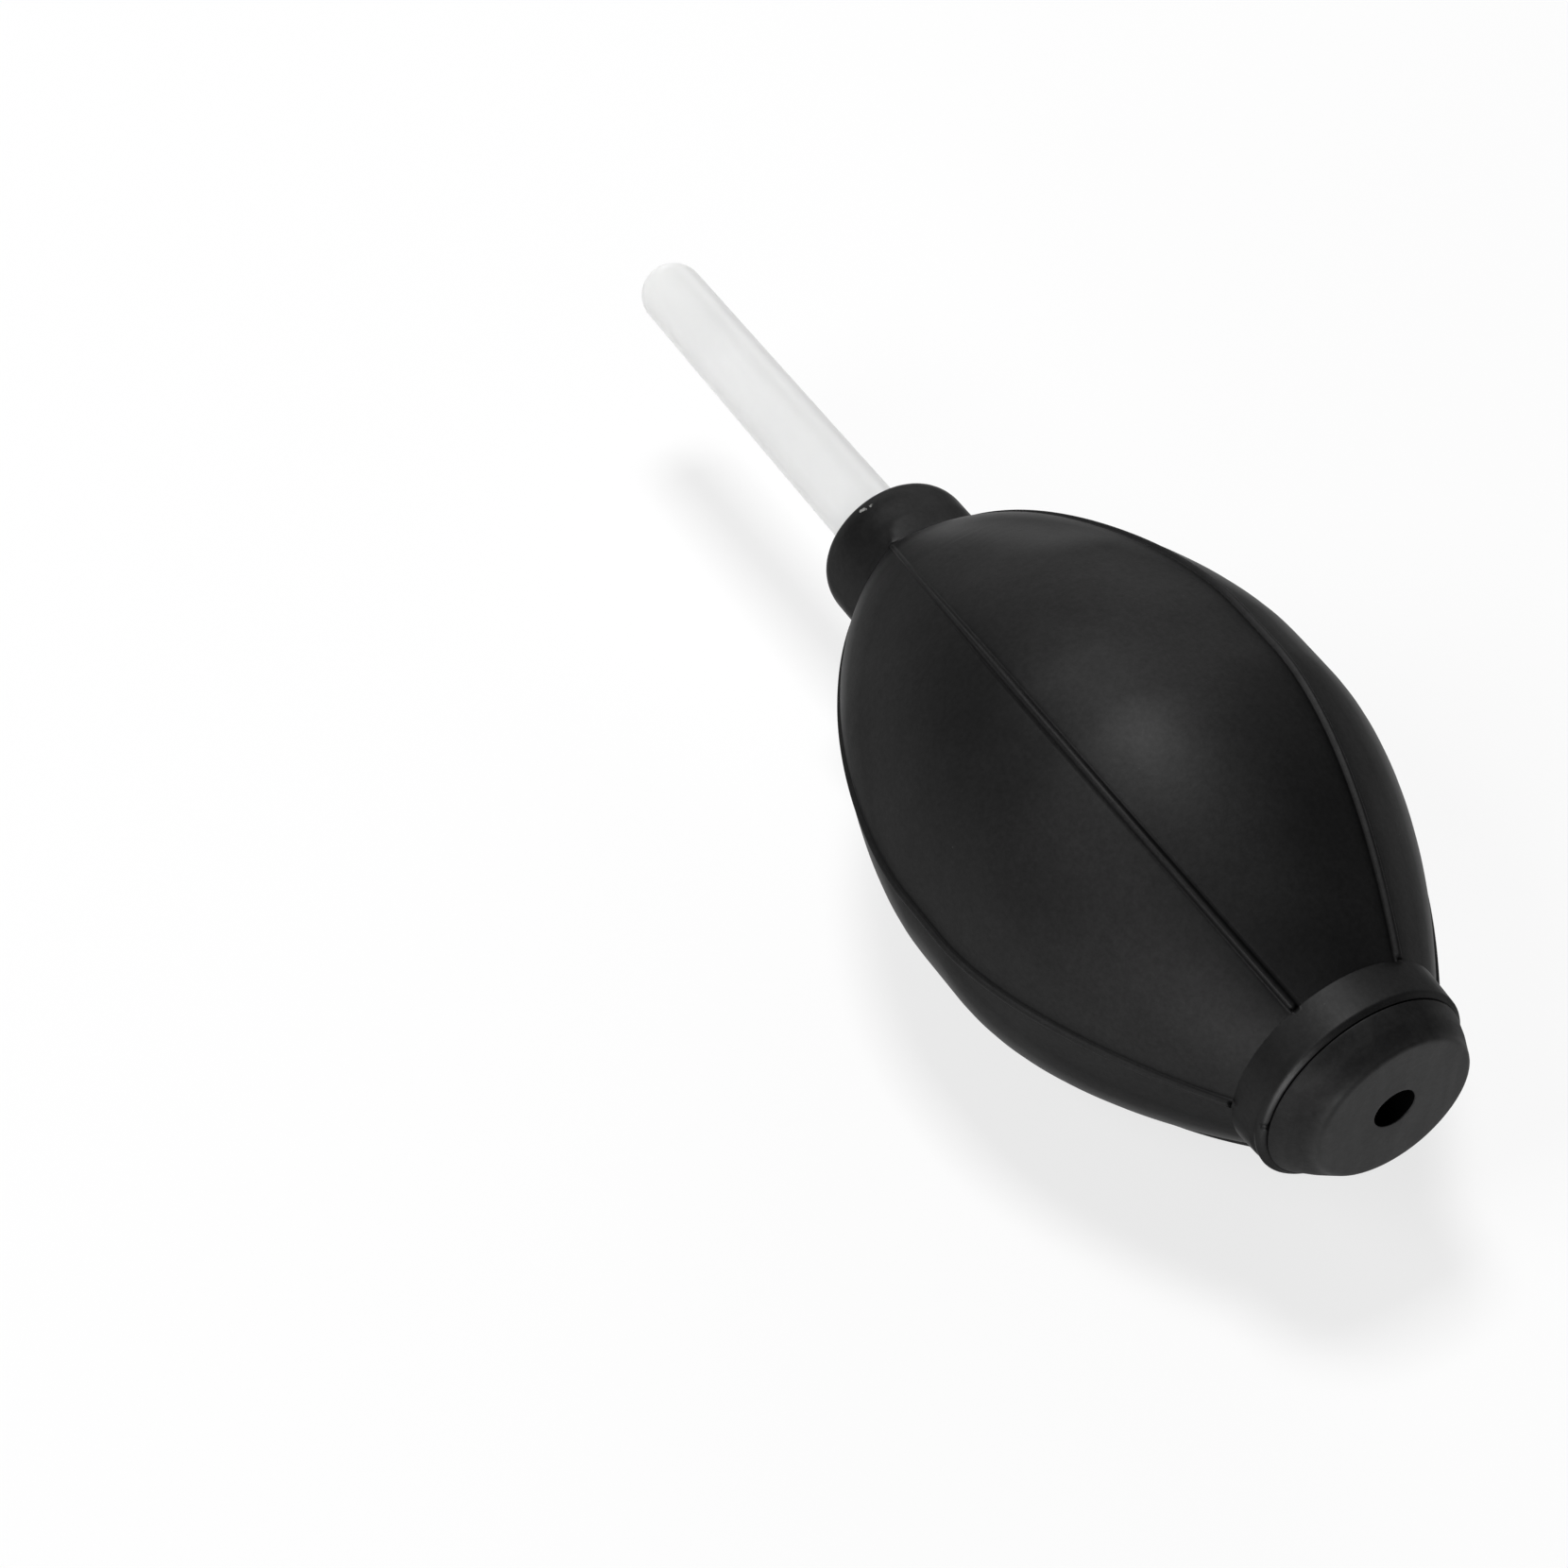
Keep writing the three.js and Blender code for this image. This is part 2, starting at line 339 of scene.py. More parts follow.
def turned(name, outline, sides, material, wobble=0.0):
    """A piece turned about the blower's axis from a closed outline, uneven by the wobble."""
    vertices = []
    for along, radius in outline:
        for j in range(sides):
            angle = 2 * math.pi * j / sides
            where = Vector((along * 0.35, math.sin(angle) * 1.5, math.cos(angle) * 1.5))
            vertices.append(place(along, radius + wobble * noise.noise(where), angle))
    return new_piece(name, vertices, grid_faces(len(outline), sides), material)


# ---------------------------------------------------------------- materials


class Nodes:
    """Short way to build a material's node tree."""

    def __init__(self, name):
        self.material = bpy.data.materials.new(name)
        self.material.use_nodes = True
        self.tree = self.material.node_tree
        self.tree.nodes.clear()

    def give(self, socket, value):
        """Links a socket to another one, or sets it."""
        if isinstance(value, bpy.types.NodeSocket):
            self.tree.links.new(value, socket)
        else:
            socket.default_value = value

    def add(self, kind, inputs=(), **settings):
        node = self.tree.nodes.new(kind)
        for key, value in settings.items():
            setattr(node, key, value)
        for key, value in dict(inputs).items():
            self.give(node.inputs[key], value)
        return node

    def rest(self, stored=True):
        """Where a point is on its piece at rest. A CAD node has no stored place, and as a stiff
        piece it can take its own frame instead."""
        if stored:
            return self.add("ShaderNodeAttribute", attribute_name="rest").outputs["Vector"]
        return self.add("ShaderNodeTexCoord").outputs["Object"]

    def mark(self, name):
        return self.add("ShaderNodeAttribute", attribute_name=name).outputs["Fac"]

    def noise(self, where, scale, detail=4.0, rough=0.55, warp=0.0):
        inputs = {
            "Vector": where,
            "Scale": scale,
            "Detail": detail,
            "Roughness": rough,
            "Distortion": warp,
        }
        return self.add("ShaderNodeTexNoise", inputs).outputs["Fac"]

    def ramp(self, value, *stops):
        """Maps a value through (position, grey) stops."""
        node = self.add("ShaderNodeValToRGB", {"Fac": value})
        elements = node.color_ramp.elements
        while len(elements) < len(stops):
            elements.new(0.5)
        for element, (position, grey) in zip(elements, stops):
            element.position = position
            element.color = (grey, grey, grey, 1)
        return node.outputs["Color"]

    def math(self, operation, a, b):
        return self.add("ShaderNodeMath", {0: a, 1: b}, operation=operation).outputs[0]

    def vector(self, operation, a, b):
        node = self.add("ShaderNodeVectorMath", {0: a, 1: b}, operation=operation)
        return node.outputs["Vector"]

    def stretched(self, where, scale, turn=(0, 0, 0)):
        inputs = {"Vector": where, "Rotation": turn, "Scale": scale}
        return self.add("ShaderNodeMapping", inputs).outputs[0]

    def ragged(self, where, scale, reach):
        """A place pushed to and fro by up to the reach, for outlines that aren't clean."""
        push = self.vector("MULTIPLY", self.noise(where, scale, detail=3), (2 * reach,) * 3)
        return self.vector("ADD", where, self.vector("ADD", push, (-reach,) * 3))

    def mix(self, share, a, b):
        """Two colours mixed. The node has sockets of the same name for each type of value."""
        node = self.add("ShaderNodeMix", data_type="RGBA")
        for key, value in (("Factor", share), ("A", a), ("B", b)):
            self.give(next(s for s in node.inputs if s.name == key and s.enabled), value)
        return next(s for s in node.outputs if s.enabled)

    def bump(self, height, distance, strength, normal=None):
        inputs = {"Height": height, "Distance": distance, "Strength": strength}
        if normal is not None:
            inputs["Normal"] = normal
        return self.add("ShaderNodeBump", inputs).outputs["Normal"]

    def finish(self, inputs):
        shader = self.add("ShaderNodeBsdfPrincipled", inputs)
        self.add("ShaderNodeOutputMaterial", {"Surface": shader.outputs["BSDF"]})
        return self.material


# Share of the gloss against how far the skin turns away, from 0, square on, to 1, edge on
EVEN = ((0.0, 1.0), (1.0, 1.0))
BULB_FALLOFF = ((0.3, 1.0), (0.66, 0.22), (0.78, 0.22), (0.92, 0.85))
PLUG_FALLOFF = ((0.3, 1.0), (0.42, 0.95), (0.62, 0.6), (0.85, 0.3))

# What painted highlight, painted shade and dust do to the rubber
SHEEN_PALE_COLOUR = (0.032, 0.032, 0.033, 1)
SHEEN_PALE_SHARE = 0.3
PAINTED_SHEEN = 0.75
SHEEN_SMOOTHING = 0.24
PAINTED_SHADE_COLOUR = (0.0008, 0.0008, 0.0008, 1)
DUST_COLOUR = (0.04, 0.04, 0.04, 1)
CRUMB_COLOUR = (0.2, 0.2, 0.195, 1)
CRUMB_RAGGEDNESS = 0.0007


def rubber_colour(n, rest, pores, bloom, dark, pale, specks, crumbs):
    """Cloudy black, paler where highlight is painted and near black where shade is painted, with
    specks of dust. Each crumb is (centre, size) in metres, a bigger bit of white dust stuck to the
    skin."""
    base = n.mix(bloom, (*dark, 1), (*pale, 1))
    base = n.vector("MULTIPLY", base, n.ramp(pores, (0.35, 0.72), (0.68, 1.35)))
    # Painted highlight: the rubber is paler where highlight is painted
    sheen_paling = n.math("MULTIPLY", n.mark("painted_sheen"), n.ramp(pores, (0.3, 0.25), (0.7, 1.0)))
    base = n.mix(n.math("MULTIPLY", sheen_paling, SHEEN_PALE_SHARE), base, SHEEN_PALE_COLOUR)
    # Painted shade: near black in the rib valleys and in the plug's hole
    base = n.mix(n.mark("painted_shade"), base, PAINTED_SHADE_COLOUR)
    dots = n.add("ShaderNodeTexVoronoi", {"Vector": rest, "Scale": 330.0}).outputs["Distance"]
    thin = n.ramp(n.noise(rest, 90, detail=2), (0.52, 0.0), (0.6, 1.0))
    dust = n.math("MULTIPLY", n.ramp(dots, (0.012, 1.0), (0.035, 0.0)), thin)
    base = n.mix(n.math("MULTIPLY", dust, specks), base, DUST_COLOUR)
    if crumbs:
        ragged = n.ragged(rest, 2600, CRUMB_RAGGEDNESS)
    for centre, size in crumbs:
        away = n.add("ShaderNodeVectorMath", {0: ragged, 1: centre}, operation="DISTANCE")
        near = n.math("LESS_THAN", away.outputs["Value"], size)
        base = n.mix(near, base, CRUMB_COLOUR)
    return base


def rubber_sheen(n, rest, pores, gloss, falloff, smudges):
    """How strongly the rubber shines: streaky where it was wiped, more where highlight is painted,
    and not at all where shade is painted."""
    facing = n.add("ShaderNodeLayerWeight", {"Blend": 0.5}).outputs["Facing"]
    sheen = n.math("MULTIPLY", n.ramp(facing, *falloff), gloss)
    wipes = n.noise(n.stretched(rest, (1, 1, 0.3), turn=(0.75, 0, 0)), 300, detail=4, warp=0.8)
    mottle = n.noise(rest, 480, detail=4)
    for share in (
        n.ramp(wipes, (0.4, 1 - smudges), (0.62, 1 + smudges / 2)),
        n.ramp(pores, (0.3, 0.9), (0.7, 1.1)),
        n.ramp(mottle, (0.36, 0.965), (0.64, 1.035)),
    ):
        sheen = n.math("MULTIPLY", sheen, share)
    # Painted highlight adds gloss, and painted shade takes it away
    sheen = n.math("ADD", sheen, n.math("MULTIPLY", n.mark("painted_sheen"), PAINTED_SHEEN))
    return n.math("MULTIPLY", sheen, n.math("SUBTRACT", 1.0, n.mark("painted_shade")))


def rubber(
    name,
    dark,
    pale,
    roughness,
    gloss,
    falloff=EVEN,
    specks=0.5,
    smudges=0.0,
    crumbs=(),
    stored=True,
):
    """Moulded black rubber with a fine grain, pores and a cloudy bloom. The mark "edge" holds
    painted highlight, which makes the rubber paler, glossier and smoother, and "groove" holds
    painted shade, which makes it darker and less glossy."""
    n = Nodes(name)
    rest = n.rest(stored)
    grain = n.noise(rest, 5200, detail=3)
    pores = n.noise(rest, 1900, detail=5, rough=0.65)
    cloud = n.noise(rest, 62, detail=6, rough=0.6, warp=0.6)
    patch = n.noise(rest, 24, detail=3, warp=1.2)
    bloom = n.ramp(cloud, (0.38, 0.0), (0.72, 1.0))

    rough = n.math("MULTIPLY", n.ramp(patch, (0.3, 0.0), (0.7, 1.0)), 0.08)
    rough = n.math("ADD", rough, roughness - 0.04)
    rough = n.math("ADD", rough, n.math("MULTIPLY", bloom, 0.05))
    rough = n.math("ADD", rough, n.math("MULTIPLY", grain, 0.04))
    # Painted highlight also makes the rubber smoother
    rough = n.math("SUBTRACT", rough, n.math("MULTIPLY", n.mark("painted_sheen"), SHEEN_SMOOTHING))

    normal = n.bump(grain, 0.00002, 0.35)
    normal = n.bump(pores, 0.00003, 0.2, normal)
    normal = n.bump(cloud, 0.0003, 0.2, normal)
    return n.finish(
        {
            "Base Color": rubber_colour(n, rest, pores, bloom, dark, pale, specks, crumbs),
            "Roughness": rough,
            "Specular IOR Level": rubber_sheen(n, rest, pores, gloss, falloff, smudges),
            "Normal": normal,
        }
    )


def milky_plastic(name):
    """Translucent white tube: soft light inside it, faint flow marks and a fine grain."""
    n = Nodes(name)
    rest = n.rest()
    flow = n.noise(n.stretched(rest, (0.12, 1, 1)), 420, detail=4, warp=0.4)
    cloud = n.ramp(n.noise(rest, 70, detail=3), (0.3, 0.0), (0.7, 1.0))
    grain = n.noise(rest, 3800, detail=2)
    base = n.mix(cloud, (0.625, 0.628, 0.625, 1), (0.665, 0.667, 0.663, 1))
    streaks = n.math("MULTIPLY", n.ramp(flow, (0.55, 0.0), (0.8, 1.0)), 0.3)
    normal = n.bump(flow, 0.0001, 0.12)
    return n.finish(
        {
            "Base Color": n.mix(streaks, base, (0.6, 0.605, 0.6, 1)),
            "Roughness": n.math("ADD", n.math("MULTIPLY", flow, 0.16), 0.3),
            "Specular IOR Level": 0.45,
            "Subsurface Weight": 0.75,
            "Subsurface Radius": (0.0042, 0.0042, 0.004),
            "Subsurface Scale": 1.0,
            "Normal": n.bump(grain, 0.00002, 0.3, normal),
        }
    )


def black_plastic(name):
    """Moulded hard plastic of the valve: cloudy black with a fine grain."""
    n = Nodes(name)
    rest = n.rest(stored=False)
    grain = n.noise(rest, 2600, detail=4)
    cloud = n.noise(rest, 260, detail=3)
    return n.finish(
        {
            "Base Color": n.mix(cloud, (0.006, 0.006, 0.007, 1), (0.02, 0.02, 0.021, 1)),
            "Roughness": n.math("ADD", n.math("MULTIPLY", grain, 0.18), 0.28),
            "Normal": n.bump(grain, 0.00003, 0.4),
        }
    )


bulb_rubber = rubber(
    "bulb_rubber",
    (0.0014, 0.0014, 0.0015),
    (0.0032, 0.0032, 0.0033),
    roughness=0.53,
    gloss=0.22,
    falloff=BULB_FALLOFF,
    smudges=0.03,
    crumbs=[
        (place(83.5, NECK_RADIUS - 0.28, math.radians(29)), 0.00036),
        (place(83.15, NECK_RADIUS - 0.16, math.radians(22)), 0.00024),
        (place(83.2, NECK_RADIUS - 0.18, math.radians(27)), 0.00018),
    ],
)
plug_rubber = rubber(
    "plug_rubber",
    (0.0014, 0.0014, 0.0015),
    (0.0045, 0.0045, 0.0046),
    roughness=0.55,
    gloss=0.23,
    falloff=PLUG_FALLOFF,
    specks=0.3,
    smudges=0.22,
)
disc_rubber = rubber(
    "disc_rubber",
    (0.006, 0.006, 0.006),
    (0.014, 0.014, 0.014),
    roughness=0.6,
    gloss=0.5,
    specks=0.2,
    stored=False,
)
nozzle_plastic = milky_plastic("nozzle_plastic")
valve_plastic = black_plastic("valve_plastic")


# ---------------------------------------------------------------- bulb

REAR = [
    (COLLAR_FRONT, COLLAR_RADIUS),
    (
        COLLAR_FRONT + REAR_REACH * math.cos(REAR_SLOPE),
        COLLAR_RADIUS + REAR_REACH * math.sin(REAR_SLOPE),
    ),
    (BELLY_FROM - BELLY_REAR_REACH, BELLY_RADIUS),
    (BELLY_FROM, BELLY_RADIUS),
]
FRONT = [
    (BELLY_TO, BELLY_RADIUS),
    (BELLY_TO + BELLY_FRONT_REACH, BELLY_RADIUS),
    (
        NECK_BACK - SHOULDER_REACH * math.cos(SHOULDER_SLOPE),
        NECK_RADIUS + SHOULDER_REACH * math.sin(SHOULDER_SLOPE),
    ),
    (NECK_BACK, NECK_RADIUS),
]


def skin_step(along):
    """Rows lie closer where the lip, the nick and the torn flash are."""
    return FINE_STEP if along < 5.4 or 76 < along < 80.5 else SKIN_STEP


def bulb_outside():
    """From the collar's mouth over the belly to the neck's mouth."""
    lip = COLLAR_RADIUS - COLLAR_DRAFT
    return rounded(
        [
            (COLLAR_BACK, COLLAR_BORE + 0.6),
            (COLLAR_BACK, lip - 0.44, 0.08),
            (COLLAR_BACK + 0.14, lip - 0.32, 0.08),
            (COLLAR_BACK + COLLAR_EDGE, lip, 0.45),
            (COLLAR_FRONT, COLLAR_RADIUS, 0.12),
            *curve(*REAR, 64)[1:],
            *curve(*FRONT, 84)[:-1],
            (NECK_BACK, NECK_RADIUS - 0.15, 0.8),
            (79.8, NECK_RADIUS + 0.02, 6),
            *quarter_round(NECK_FRONT, NECK_RADIUS, NECK_ROUND_LENGTH, NECK_ROUND_DEPTH),
            (NECK_FRONT, NECK_BORE + 0.5),
        ],
        skin_step,
        closed=False,
    )


def bulb_inside():
    """From the neck's mouth through its bore, the air chamber and the collar's bore."""
    walls = offset_inside(curve(*REAR, 24), WALL) + offset_inside(curve(*FRONT, 30), WALL)
    chamber = [p for p in walls if CHAMBER_BACK + 0.5 < p[0] < CHAMBER_FRONT - 1.5]
    return rounded(
        [
            (NECK_FRONT, NECK_BORE + 0.4),
            (NECK_FRONT, NECK_BORE, 0.3),
            (GROOVE_TO, NECK_BORE),
            (GROOVE_TO, GROOVE_RADIUS),
            (GROOVE_DEEPEST, GROOVE_RADIUS),
            (GROOVE_FROM, NECK_BORE),
            (CHAMBER_FRONT, NECK_BORE, 0.3),
            (CHAMBER_FRONT - 0.4, chamber[-1][1] - 3, 0.5),
            *reversed(chamber),
            (CHAMBER_BACK, chamber[0][1] - 1.2, 0.4),
            (CHAMBER_BACK, COLLAR_BORE, 0.2),
            (COLLAR_BACK, COLLAR_BORE, 0.25),
            (COLLAR_BACK, COLLAR_BORE + 0.4),
        ],
        INSIDE_STEP,
        closed=False,
    )


def rib_share(along):
    """How high the ribs stand, as a share of their full height."""
    share = smooth(along, COLLAR_FRONT - 0.25, COLLAR_FRONT + 0.05)
    share *= 1 - (1 - RIB_FADED) * smooth(along, RIB_FADE_FROM, RIB_FADE_TO)
    return share * (1 - smooth(along, NECK_BACK - 0.6, NECK_BACK + 0.5))


def valley_shade(along):
    """How dark the painted shade in the valleys beside a rib of full height is."""
    shade_share = 0.34 - 0.26 * smooth(along, BELLY_TO, 58)
    return shade_share * (0.4 + 0.6 * smooth(along, COLLAR_FRONT, COLLAR_FRONT + 2))


def row_columns(along, radius):
    """One row of the bulb round the axis: (angle, share of a rib's height, is it a valley)."""
    across = max(radius, NECK_RADIUS)
    narrow = 1 - (1 - RIB_NECK_SHARE) * smooth(along, BELLY_TO, NECK_BACK)
    reach = RIB_PROFILE[-1][0] * narrow / across
    gore = 2 * math.pi / RIBS - 2 * reach
    columns = []
    for k in range(RIBS):
        middle = math.radians(FIRST_RIB_DEGREES + 360 / RIBS * k)
        for d, height in RIB_COLUMNS:
            valley = SHADE_FROM <= abs(d) <= SHADE_TO
            columns.append((middle + d * narrow / across, height, valley))
        for m in range(1, GORE_COLUMNS):
            columns.append((middle + reach + gore * m / GORE_COLUMNS, 0.0, False))
    return columns


def painted_highlight(along, radius, angle):
    """How much highlight is painted on the skin, from 0 to 1: a soft band on the front shoulder,
    the torn flash on the neck, and a glint on an arc of the collar's lip."""
    if BAND[0] < along < BAND[-1]:
        # A band of painted highlight on the front shoulder
        middle = math.radians(BAND_TURN * along + BAND_START)
        return BAND_SHINE * window(along, *BAND) * hump(aside(angle, middle), 0.19)
    # Painted highlight on the torn flash
    past_root = along - NECK_BACK - FLASH_SHINE_AT
    if abs(past_root) < 2 and radius > NECK_RADIUS - 1:
        across = aside(angle, SCAR_RIB) * radius
        return FLASH_SHINE * hump(across + 0.9, 1.1) * hump(past_root, 0.9)
    if along > COLLAR_BACK + 1 or radius < COLLAR_BORE + 1.5:
        return 0.0
    # A painted glint on an arc of the collar's lip
    return hump(along - COLLAR_BACK - 0.22, 0.11) * hump(aside(angle, LIP_SHINE_AT), 0.4)


def gores(along, radius, angle):
    """The skin is flatter between the ribs, except on the belly's underside."""
    if not COLLAR_FRONT < along < NECK_BACK:
        return 0.0
    flat = GORE_FLATNESS * abs(math.sin(RIBS / 2 * (angle - SCAR_RIB))) * radius / BELLY_RADIUS
    return -flat * (1 - hump(aside(angle, math.pi), 0.4))


def ripples(along, angle):
    """Mould ripples on the front shoulder, in two places."""
    share = window(along, *RIPPLES) * hump(aside(angle, RIPPLES_AT), 0.22)
    share += 0.7 * hump(along - 67, 1.2) * hump(aside(angle, SIDE_RIPPLES_AT), 0.08)
    return RIPPLE_HEIGHT * share * math.sin(along * 2 * math.pi / RIPPLE_PITCH + 2.5 * angle)


def scar(along, radius, angle):
    """Where the upper rib meets the neck: a small web, and the torn flash, which forks."""
    across = aside(angle, SCAR_RIB) * radius
    lift = 0.3 * hump(across + 0.5, 2.2) * hump(along - NECK_BACK, 1.4)
    t = (along - NECK_BACK) / 2.6
    arms = hump(across + 1.6 * t, 0.36) + 0.5 * hump(across - 1.2 * t, 0.36)
    return lift + window(t, -0.2, 0.05, 0.6, 1.2) * (0.15 * arms + 0.1 * hump(across, 1.3))


def trimmed_lip(along, radius, angle):
    """The collar's rim: a furrow and a bead on its low side, and a nick."""
    if along >= 5.6 or radius <= COLLAR_BORE + 1.5:
        return 0.0
    low_side = hump(aside(angle, LOW_SIDE), 0.75)
    lift = 0.1 * low_side * hump(along - 4.3, 0.35) - 0.2 * low_side * hump(along - 4.95, 0.25)
    nick = hump(aside(angle, NICK_AT) * radius, 0.32)
    return lift - 0.3 * nick * hump(along - 3.9, 0.45)


def skin(along, radius, angle):
    """Unevenness of the moulded rubber, in millimetres."""
    where = Vector(
        (along * 0.06, math.sin(angle) * radius * 0.06, math.cos(angle) * radius * 0.06)
    )
    return (
        0.1 * noise.noise(where)
        + gores(along, radius, angle)
        + ripples(along, angle)
        + scar(along, radius, angle)
        + trimmed_lip(along, radius, angle)
    )


def make_bulb():
    outside = bulb_outside()
    outline = outside + bulb_inside()
    rows = len(outline)
    vertices, painted_sheens, painted_shades = [], [], []
    for i, (along, radius) in enumerate(outline):
        tangent = (Vector(outline[(i + 1) % rows]) - Vector(outline[i - 1])).normalized()
        outer = i < len(outside)
        rib = rib_share(along) if outer else 0.0
        # Shade is painted in the valleys beside the ribs
        shade_share = rib * valley_shade(along)
        for angle, height, valley in row_columns(along, radius):
            lift = rib * height * RIB_HEIGHT
            if outer:
                lift += skin(along, radius, angle)
            vertices.append(place(along - tangent.y * lift, radius + tangent.x * lift, angle))
            # Highlight is painted on the shoulder band, the torn flash and the lip
            painted_sheens.append(painted_highlight(along, radius, angle) if outer else 0.0)
            painted_shades.append(shade_share if valley else 0.0)
    # The belly is flat where it rests on the bench
    for v in vertices:
        v.z = max(v.z, 0.0)
    faces = grid_faces(rows, len(vertices) // rows)
    piece = new_piece("bulb_skin", vertices, faces, bulb_rubber)
    store_marks(piece, painted_sheens, painted_shades)
    return piece


bulb = make_bulb()
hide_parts("bulb")
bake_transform(bulb)


# ---------------------------------------------------------------- end plug

plug = turned(
    "end_plug_fine",
    rounded(
        [
            (0.0, INTAKE_RADIUS, 0.12),
            (0.0, 8.2, 0.75),
            (1.9, 9.5, 4),
            (3.64, 10.46, 0.1),
            (3.64, 9.2, 0.1),
            (3.4, 7.6, 0.15),
            (10.6, 7.6, 0.15),
            (10.6, 8.9, 0.3),
            (12.0, 8.0, 0.4),
            (12.0, 3.7, 0.3),
            (9.7, 3.7, 0.15),
            (9.7, 4.5, 0.15),
            (2.9, 4.5, 0.2),
            (2.9, INTAKE_RADIUS, 0.1),
        ],
        0.45,
    ),
    144,
    plug_rubber,
    wobble=0.03,
)


def plug_marks(spot):
    """How much highlight and how much shade is painted on the plug at a point, each from 0 to 1:
    sheen on its face and shade in its intake hole.
    """
    along = (spot.x - TAIL_X) / MM
    radius = math.hypot(spot.y, spot.z - AXIS_Z) / MM
    in_hole = radius < INTAKE_RADIUS + 0.15 and along > 0.1
    # Sheen painted on the face, shade painted in the intake hole
    return FACE_SHEEN * (1 - smooth(along, 0.2, 0.9)), HOLE_SHADE if in_hole else 0.0


store_marks(plug, *zip(*(plug_marks(v.co) for v in plug.data.vertices)))

# The cap leans a little, as the real one does where it was pressed in
for v in plug.data.vertices:
    lean = max(0.0, 1 - (v.co.x - TAIL_X) / (COLLAR_BACK * MM))
    v.co += CAP_LEAN * MM * lean
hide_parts("end_plug")
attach(plug, "tail")


# ---------------------------------------------------------------- nozzle


def nozzle_outline():
    """Round the tube's outside to its round tip, and back through its bore."""
    tip_centre = LENGTH - math.sqrt(TIP_RADIUS**2 - OUTLET_RADIUS**2)
    last = math.acos(OUTLET_RADIUS / TIP_RADIUS)
    turns = [last * i / TIP_STEPS for i in range(TIP_STEPS)]
    tip = [(tip_centre + TIP_RADIUS * math.sin(t), TIP_RADIUS * math.cos(t)) for t in turns]
    return rounded(
        [
            (NOZZLE_BACK, 3.4, 0.1),
            (76.7, NOZZLE_RADIUS, 0.1),
            (77.9, NOZZLE_RADIUS),
            (BARB_TO, BARB_RADIUS, 0.1),
            (BARB_TO, NOZZLE_RADIUS, 0.05),
            (FLANGE_FROM, NOZZLE_RADIUS, 0.05),
            (FLANGE_FROM, FLANGE_RADIUS, 0.2),
            (FLANGE_TO, FLANGE_RADIUS, 0.25),
            (FLANGE_TO, NOZZLE_RADIUS, 0.2),
            *tip,
            (LENGTH, OUTLET_RADIUS, 0.12),
            (LENGTH - 3, OUTLET_RADIUS, 0.1),
            (LENGTH - 12, 2.1),
            (NOZZLE_BACK, 2.3, 0.2),
        ],
        0.8,
    )


nozzle = turned("nozzle_fine", nozzle_outline(), 96, nozzle_plastic)
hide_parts("nozzle")
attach(nozzle, "nozzle")


# ---------------------------------------------------------------- valve

valve_body = turned(
    "valve_body_fine",
    rounded(
        [
            (3.2, 1.6, 0.12),
            (3.2, 4.2, 0.25),
            (9.4, 4.2, 0.25),
            (9.4, 3.8, 0.1),
            (7.9, 3.8, 0.1),
            (7.9, 3.3, 0.1),
            (4.1, 3.3, 0.3),
            (4.1, 2.1, 0.08),
            (4.4, 2.1, 0.08),
            (4.4, 1.6, 0.08),
        ],
        0.6,
    ),
    72,
    valve_plastic,
)
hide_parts("valve_body")
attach(valve_body, "tail")

for node, material in (("valve_disc", disc_rubber), ("valve_retainer", valve_plastic)):
    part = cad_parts[node]
    part.data.materials.clear()
    part.data.materials.append(material)


# ---------------------------------------------------------------- floor, light, camera

LIGHT_DISTANCE = 1.1

# How bright the surroundings are to the camera, and how bright they are as a light
BACKDROP = 0.93
AIR = 0.05

CAMERA_PLACE = (-0.233, 0.1648, 0.31254)
CAMERA_HEADING = math.radians(-31.29)
CAMERA_DROP = math.radians(47.26)
CAMERA_ROLL = math.radians(-0.89)
CAMERA_LENS = 95.5


def floor_material():
    """Pale bench top, lit from inside like a light table, so that shadows on it stay faint."""
    n = Nodes("bench")
    mottle = n.noise(n.rest(stored=False), 3.0, detail=3)
    return n.finish(
        {
            "Base Color": n.mix(mottle, (0.19, 0.19, 0.19, 1), (0.205, 0.205, 0.205, 1)),
            "Roughness": 0.8,
            "Specular IOR Level": 0.2,
            "Emission Color": (1, 1, 1, 1),
            "Emission Strength": 0.745,
        }
    )


bpy.ops.mesh.primitive_plane_add(size=12, location=(0, 0, -0.0001))
floor = bpy.context.object
floor.name = "bench"
floor.data.materials.append(floor_material())


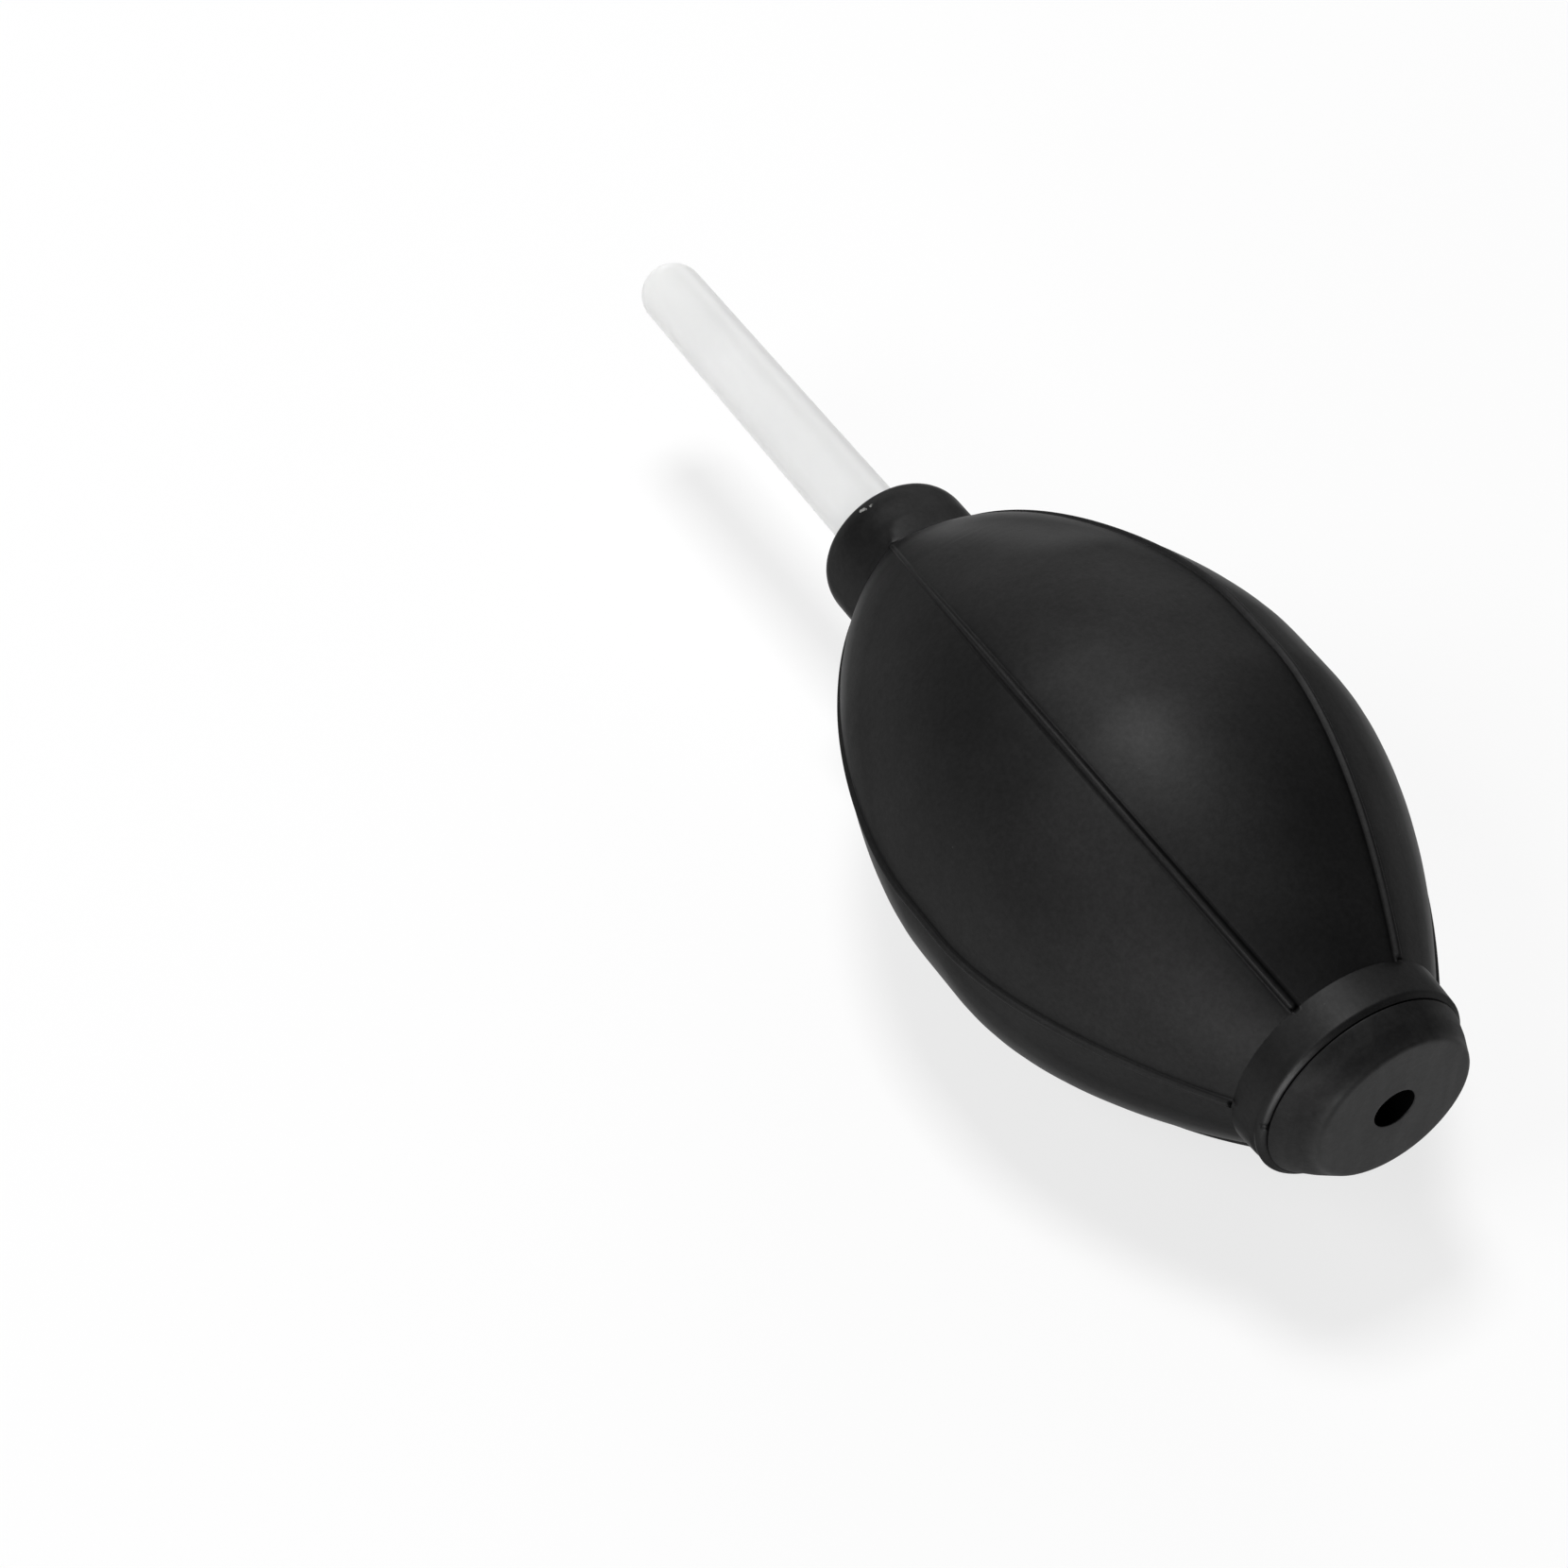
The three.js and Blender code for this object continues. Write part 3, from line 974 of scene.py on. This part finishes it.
def softbox(name, azimuth, elevation, size, power):
    """A square light that faces the blower. Azimuth is from +X towards +Y, in degrees."""
    data = bpy.data.lights.new(name, "AREA")
    data.size = size
    data.energy = power
    lamp = bpy.data.objects.new(name, data)
    bpy.context.scene.collection.objects.link(lamp)
    a, e = math.radians(azimuth), math.radians(elevation)
    way = Vector((math.cos(a) * math.cos(e), math.sin(a) * math.cos(e), math.sin(e)))
    lamp.location = way * LIGHT_DISTANCE + Vector((0, 0, AXIS_Z))
    lamp.rotation_euler = way.to_track_quat("Z", "Y").to_euler()


softbox("overhead", 2, 78, size=0.28, power=10.0)
softbox("side", 90, 45, size=0.5, power=3.9)
softbox("low_left", 128, 5, size=0.5, power=7.5)
softbox("behind", -45, 20, size=0.5, power=2.1)
softbox("behind_low", -15, 5, size=0.5, power=1.7)


def surroundings():
    """Pale behind the blower, but dim as a light, so that the softboxes shape it."""
    world = bpy.data.worlds.new("studio")
    bpy.context.scene.world = world
    world.use_nodes = True
    tree = world.node_tree
    tree.nodes.clear()
    path = tree.nodes.new("ShaderNodeLightPath")
    shade = tree.nodes.new("ShaderNodeMix")
    shade.data_type = "FLOAT"
    shade.inputs["A"].default_value = AIR
    shade.inputs["B"].default_value = BACKDROP
    background = tree.nodes.new("ShaderNodeBackground")
    output = tree.nodes.new("ShaderNodeOutputWorld")
    tree.links.new(path.outputs["Is Camera Ray"], shade.inputs["Factor"])
    tree.links.new(shade.outputs[0], background.inputs["Color"])
    tree.links.new(background.outputs[0], output.inputs[0])


def photo_camera():
    """A camera at the photograph's viewing angle."""
    data = bpy.data.cameras.new("camera")
    data.sensor_width = 36
    data.lens = CAMERA_LENS
    data.clip_start = 0.01
    data.clip_end = 50
    camera = bpy.data.objects.new("camera", data)
    bpy.context.scene.collection.objects.link(camera)
    camera.location = CAMERA_PLACE
    aim = Euler((math.pi / 2 - CAMERA_DROP, 0, CAMERA_HEADING - math.pi / 2)).to_matrix()
    camera.rotation_euler = (aim @ Matrix.Rotation(-CAMERA_ROLL, 3, "Z")).to_euler()
    return camera


surroundings()
bpy.context.scene.camera = photo_camera()
bpy.context.scene.view_settings.view_transform = "Standard"
bpy.context.scene.view_settings.look = "None"
